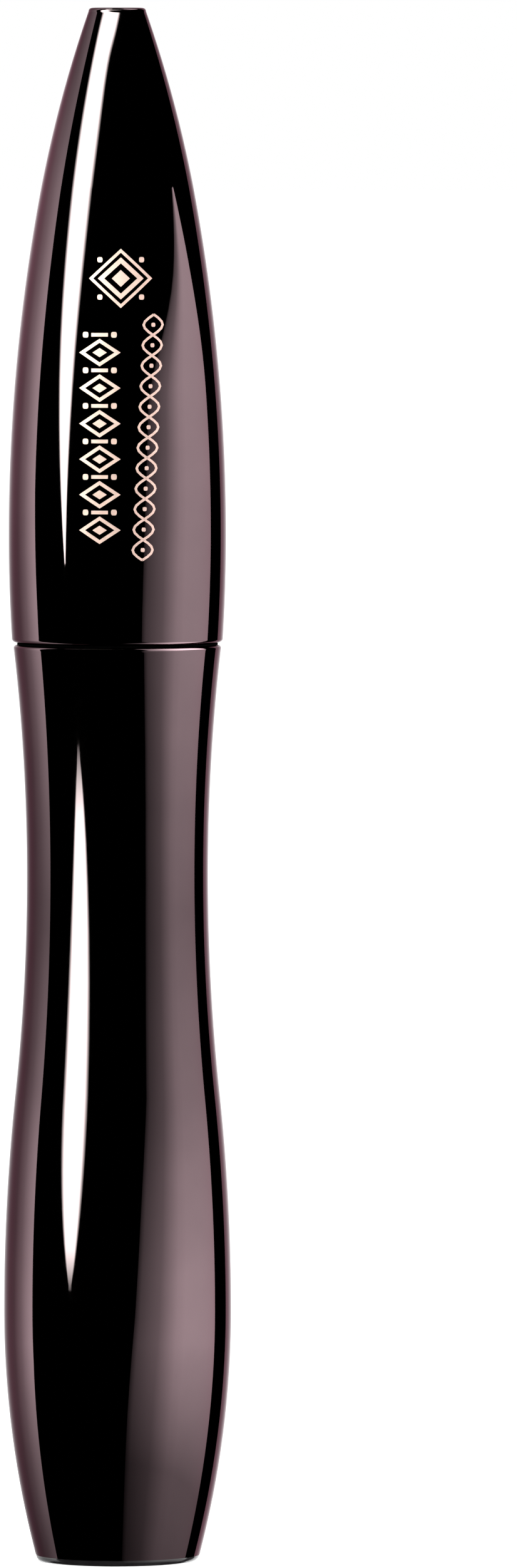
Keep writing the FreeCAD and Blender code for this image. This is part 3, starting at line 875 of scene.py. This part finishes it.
OVER_THE_BOTTLE = [(85, 32, 109), (CARD_TOP, 32, 109)]
UNDER_THE_CAP = [(-20, 32, 109), (56, 32, 109)]
HIGH_BOX = [(172, 30, 112), (CARD_TOP, 30, 112)]
HIGH_STRIP = [(190, -64, -50), (CARD_TOP, -64, -50)]


def card_point(bearing, height, radius):
    """A point of a card at this bearing, height and distance from the axis."""
    return (radius * math.sin(bearing), -radius * math.cos(bearing), height)


def grey(brightness):
    """An opaque grey."""
    return (brightness, brightness, brightness, 1)


def glow(name, strength, across, upward, colour=(1, 1, 1, 1)):
    """Light, clear from behind, whose brightness follows rows of (share, brightness) round and up a card."""
    material = bpy.data.materials.new(name)
    material.use_nodes = True
    nodes, links = material.node_tree.nodes, material.node_tree.links
    nodes.clear()
    place = nodes.new("ShaderNodeSeparateXYZ")
    links.new(nodes.new("ShaderNodeTexCoord").outputs["UV"], place.inputs["Vector"])
    product = nodes.new("ShaderNodeMath")
    product.operation = "MULTIPLY"
    for axis, rows, socket in (("X", across, product.inputs[0]), ("Y", upward, product.inputs[1])):
        ramp = nodes.new("ShaderNodeValToRGB")
        elements = ramp.color_ramp.elements
        elements.remove(elements[1])
        elements[0].position = rows[0][0]
        elements[0].color = grey(rows[0][1])
        for share, brightness in rows[1:]:
            elements.new(share).color = grey(brightness)
        links.new(place.outputs[axis], ramp.inputs["Fac"])
        links.new(ramp.outputs["Color"], socket)
    power = nodes.new("ShaderNodeMath")
    power.operation = "MULTIPLY"
    power.inputs[1].default_value = strength
    emission = nodes.new("ShaderNodeEmission")
    emission.inputs["Color"].default_value = colour
    both = nodes.new("ShaderNodeAddShader")
    output = nodes.new("ShaderNodeOutputMaterial")
    links.new(product.outputs["Value"], power.inputs[0])
    links.new(power.outputs["Value"], emission.inputs["Strength"])
    links.new(emission.outputs["Emission"], both.inputs[0])
    links.new(nodes.new("ShaderNodeBsdfTransparent").outputs["BSDF"], both.inputs[1])
    links.new(both.outputs["Shader"], output.inputs["Surface"])
    return material


def strip_glow(name, upward=LEVEL):
    """The strips' bright, slightly green light, soft at both edges."""
    return glow(name, STRIP_POWER, STRIP_EDGES, upward, STRIP_COLOUR)


def shares(outline, rows):
    """Rows of (height, brightness) as (share of the card's height, brightness)."""
    low, high = outline[0][0], outline[-1][0]
    return [((height - low) / (high - low), brightness) for height, brightness in rows]


def light_card(name, outline, material, lit=None, layer=0):
    """A curved card of this outline and glow. It lights every piece, or those of the collection lit. It has a
    layer of its own where another card stands in the same place.
    """
    low, high = outline[0][0], outline[-1][0]
    widest = max(last - first for _, first, last in outline)
    columns = max(2, math.ceil(math.radians(widest) / CARD_STEP))
    radius = CARD_RADIUS + layer * CARD_GAP
    mesh = bmesh.new()
    places_on_card = mesh.loops.layers.uv.new("card")
    grid = []
    for height, first, last in outline:
        bearings = [math.radians(first + (last - first) * column / columns) for column in range(columns + 1)]
        grid.append([mesh.verts.new(card_point(bearing, height * MM, radius)) for bearing in bearings])
    heights = [height for height, _, _ in outline]
    for row, height, after, height_after in zip(grid, heights, grid[1:], heights[1:]):
        for column in range(columns):
            face = mesh.faces.new((row[column], row[column + 1], after[column + 1], after[column]))
            steps = (column, column + 1, column + 1, column)
            ups = (height, height, height_after, height_after)
            for loop, step, up in zip(face.loops, steps, ups):
                loop[places_on_card].uv = (step / columns, (up - low) / (high - low))
    data = bpy.data.meshes.new(name)
    mesh.to_mesh(data)
    mesh.free()
    data.materials.append(material)
    card = bpy.data.objects.new(name, data)
    bpy.context.scene.collection.objects.link(card)
    card.visible_camera = False
    if lit:
        card.light_linking.receiver_collection = lit


def collected(name, pieces):
    """A collection of these pieces, for the cards that light only them."""
    collection = bpy.data.collections.new(name)
    for piece in pieces:
        collection.objects.link(piece)
    return collection


def side_boxes():
    """A wide box on each side, weaker at the waist and the foot, a dim wrap at the left, and a rim box."""
    wrap = glow("left_wrap_glow", LEFT_WRAP_POWER, WRAP_FADE, shares(LEFT_BOX, LEFT_WRAP_BY_HEIGHT))
    light_card("left_wrap", LEFT_BOX, wrap, layer=1)
    left = glow("left_glow", LEFT_POWER, LEFT_FADE, shares(LEFT_BOX, LEFT_BY_HEIGHT))
    light_card("left_box", LEFT_BOX, left)
    right = glow("right_glow", RIGHT_POWER, RIGHT_FADE, shares(RIGHT_BOX, RIGHT_BY_HEIGHT))
    light_card("right_box", RIGHT_BOX, right)
    light_card("rim_box", RIM_BOX, glow("rim_glow", RIM_POWER, LEVEL, LEVEL))


def strips(bottle, but_the_bottle):
    """The sharp highlights at the left: one strip for the bottle and one for the cap."""
    bottle_glow = strip_glow("bottle_strip_glow", shares(BOTTLE_STRIP, BOTTLE_STRIP_BY_HEIGHT))
    light_card("bottle_strip", BOTTLE_STRIP, bottle_glow, lit=bottle)
    light_card("cap_strip", CAP_STRIP, strip_glow("cap_strip_glow"), lit=but_the_bottle)


def edge_boxes(bottle, cap):
    """The glints on the two rounded edges at the parting gap."""
    bottle_glow = glow("bottle_edge_glow", BOTTLE_EDGE_POWER, RIGHT_FADE, LEVEL)
    light_card("bottle_edge_box", OVER_THE_BOTTLE, bottle_glow, lit=bottle, layer=1)
    cap_glow = glow("cap_edge_glow", CAP_EDGE_POWER, RIGHT_FADE, LEVEL)
    light_card("cap_edge_box", UNDER_THE_CAP, cap_glow, lit=cap, layer=1)


def high_cards():
    """A box and a strip above the others, which the cap mirrors when it is drawn up."""
    light_card("high_box", HIGH_BOX, glow("high_glow", HIGH_POWER, RIGHT_FADE, LEVEL))
    light_card("high_strip", HIGH_STRIP, strip_glow("high_strip_glow"))


def cards():
    """Every card of light, with the collections of the pieces that some of them are kept to."""
    bottle_piece = bpy.data.objects["bottle_lacquer"]
    lit_pieces = [piece for piece in bpy.context.scene.objects if piece.type == "MESH"]
    bottle = collected("bottle_only", [bottle_piece])
    cap = collected("cap_only", [bpy.data.objects["cap_lacquer"]])
    but_the_bottle = collected("all_but_the_bottle", [piece for piece in lit_pieces if piece != bottle_piece])
    side_boxes()
    strips(bottle, but_the_bottle)
    edge_boxes(bottle, cap)
    high_cards()


FLOOR_RADIUS = 12
FLOOR_SEGMENTS = 96


def studio_floor():
    """A wide pale floor with a light of its own, so that it stays plain white to the horizon."""
    mesh = bmesh.new()
    bmesh.ops.create_circle(mesh, cap_ends=True, segments=FLOOR_SEGMENTS, radius=FLOOR_RADIUS)
    data = bpy.data.meshes.new("floor")
    mesh.to_mesh(data)
    mesh.free()
    material = bpy.data.materials.new("pale_floor")
    material.use_nodes = True
    shader = next(node for node in material.node_tree.nodes if node.type == "BSDF_PRINCIPLED")
    shader.inputs["Base Color"].default_value = (0.9, 0.9, 0.9, 1)
    shader.inputs["Roughness"].default_value = 0.9
    shader.inputs["Specular IOR Level"].default_value = 0
    shader.inputs["Emission Color"].default_value = (1, 1, 1, 1)
    shader.inputs["Emission Strength"].default_value = 0.45
    data.materials.append(material)
    floor = bpy.data.objects.new("floor", data)
    bpy.context.scene.collection.objects.link(floor)
    floor.visible_glossy = False


def white_surroundings():
    """White world that lights and shows as white, but leaves the lacquer only the cards to reflect."""
    world = bpy.data.worlds.new("studio")
    bpy.context.scene.world = world
    world.use_nodes = True
    background = next(node for node in world.node_tree.nodes if node.type == "BACKGROUND")
    background.inputs["Color"].default_value = (1, 1, 1, 1)
    background.inputs["Strength"].default_value = 1
    world.cycles_visibility.glossy = False


# what the camera looks at, how much height it sees there, and how far it looks down
CAMERA_TARGET = Vector((11.8 * MM, 0, 65.1 * MM))
FRAME_HEIGHT = 131.2 * MM
CAMERA_ELEVATION = math.radians(2.5)
LENS = 400
SENSOR_HEIGHT = 36
FARTHEST_SEEN = 100


def studio_camera():
    """Long lens a little above the horizon; the tube stands left of the middle of the frame."""
    data = bpy.data.cameras.new("camera")
    data.lens = LENS
    data.sensor_width = SENSOR_HEIGHT
    data.clip_end = FARTHEST_SEEN
    camera = bpy.data.objects.new("camera", data)
    bpy.context.scene.collection.objects.link(camera)
    bpy.context.scene.camera = camera
    distance = FRAME_HEIGHT * LENS / SENSOR_HEIGHT
    back = Vector((0, -math.cos(CAMERA_ELEVATION), math.sin(CAMERA_ELEVATION)))
    camera.location = CAMERA_TARGET + back * distance
    camera.rotation_euler = (-back).to_track_quat("-Z", "Y").to_euler()


# ---------------------------------------------------------------------------------------------------
# the object


lacquer = plum_lacquer()
gloss_black = black_moulding("black_plastic", low=0.1, high=0.16)
polished_black = black_moulding("stem_plastic", low=0.05, high=0.1)

for piece, material in (
    (cap_shell(), lacquer),
    (bottle_shell(), lacquer),
    (base_plug(), gloss_black),
    (neck_collar(), matt_black()),
    (stem(), polished_black),
    (brush(), brush_elastomer()),
    (frame["nodes"]["cap_liner"], gloss_black),
    (frame["nodes"]["inner_vial"], black_moulding("vial_plastic", low=0.2, high=0.3)),
    (frame["nodes"]["wiper"], wiper_rubber()),
    (frame["nodes"]["seal_ring"], seal_rubber()),
    (frame["nodes"]["mascara_formula"], wet_paste()),
    (frame["nodes"]["shade_label"], label_paper()),
):
    dress(piece, material)

foil = rose_foil()
foil_medallion(foil)
foil_chain(foil)
foil_braid(foil)


# ---------------------------------------------------------------------------------------------------
# the studio


studio_floor()
cards()
white_surroundings()
studio_camera()

bpy.context.scene.view_settings.view_transform = "Standard"
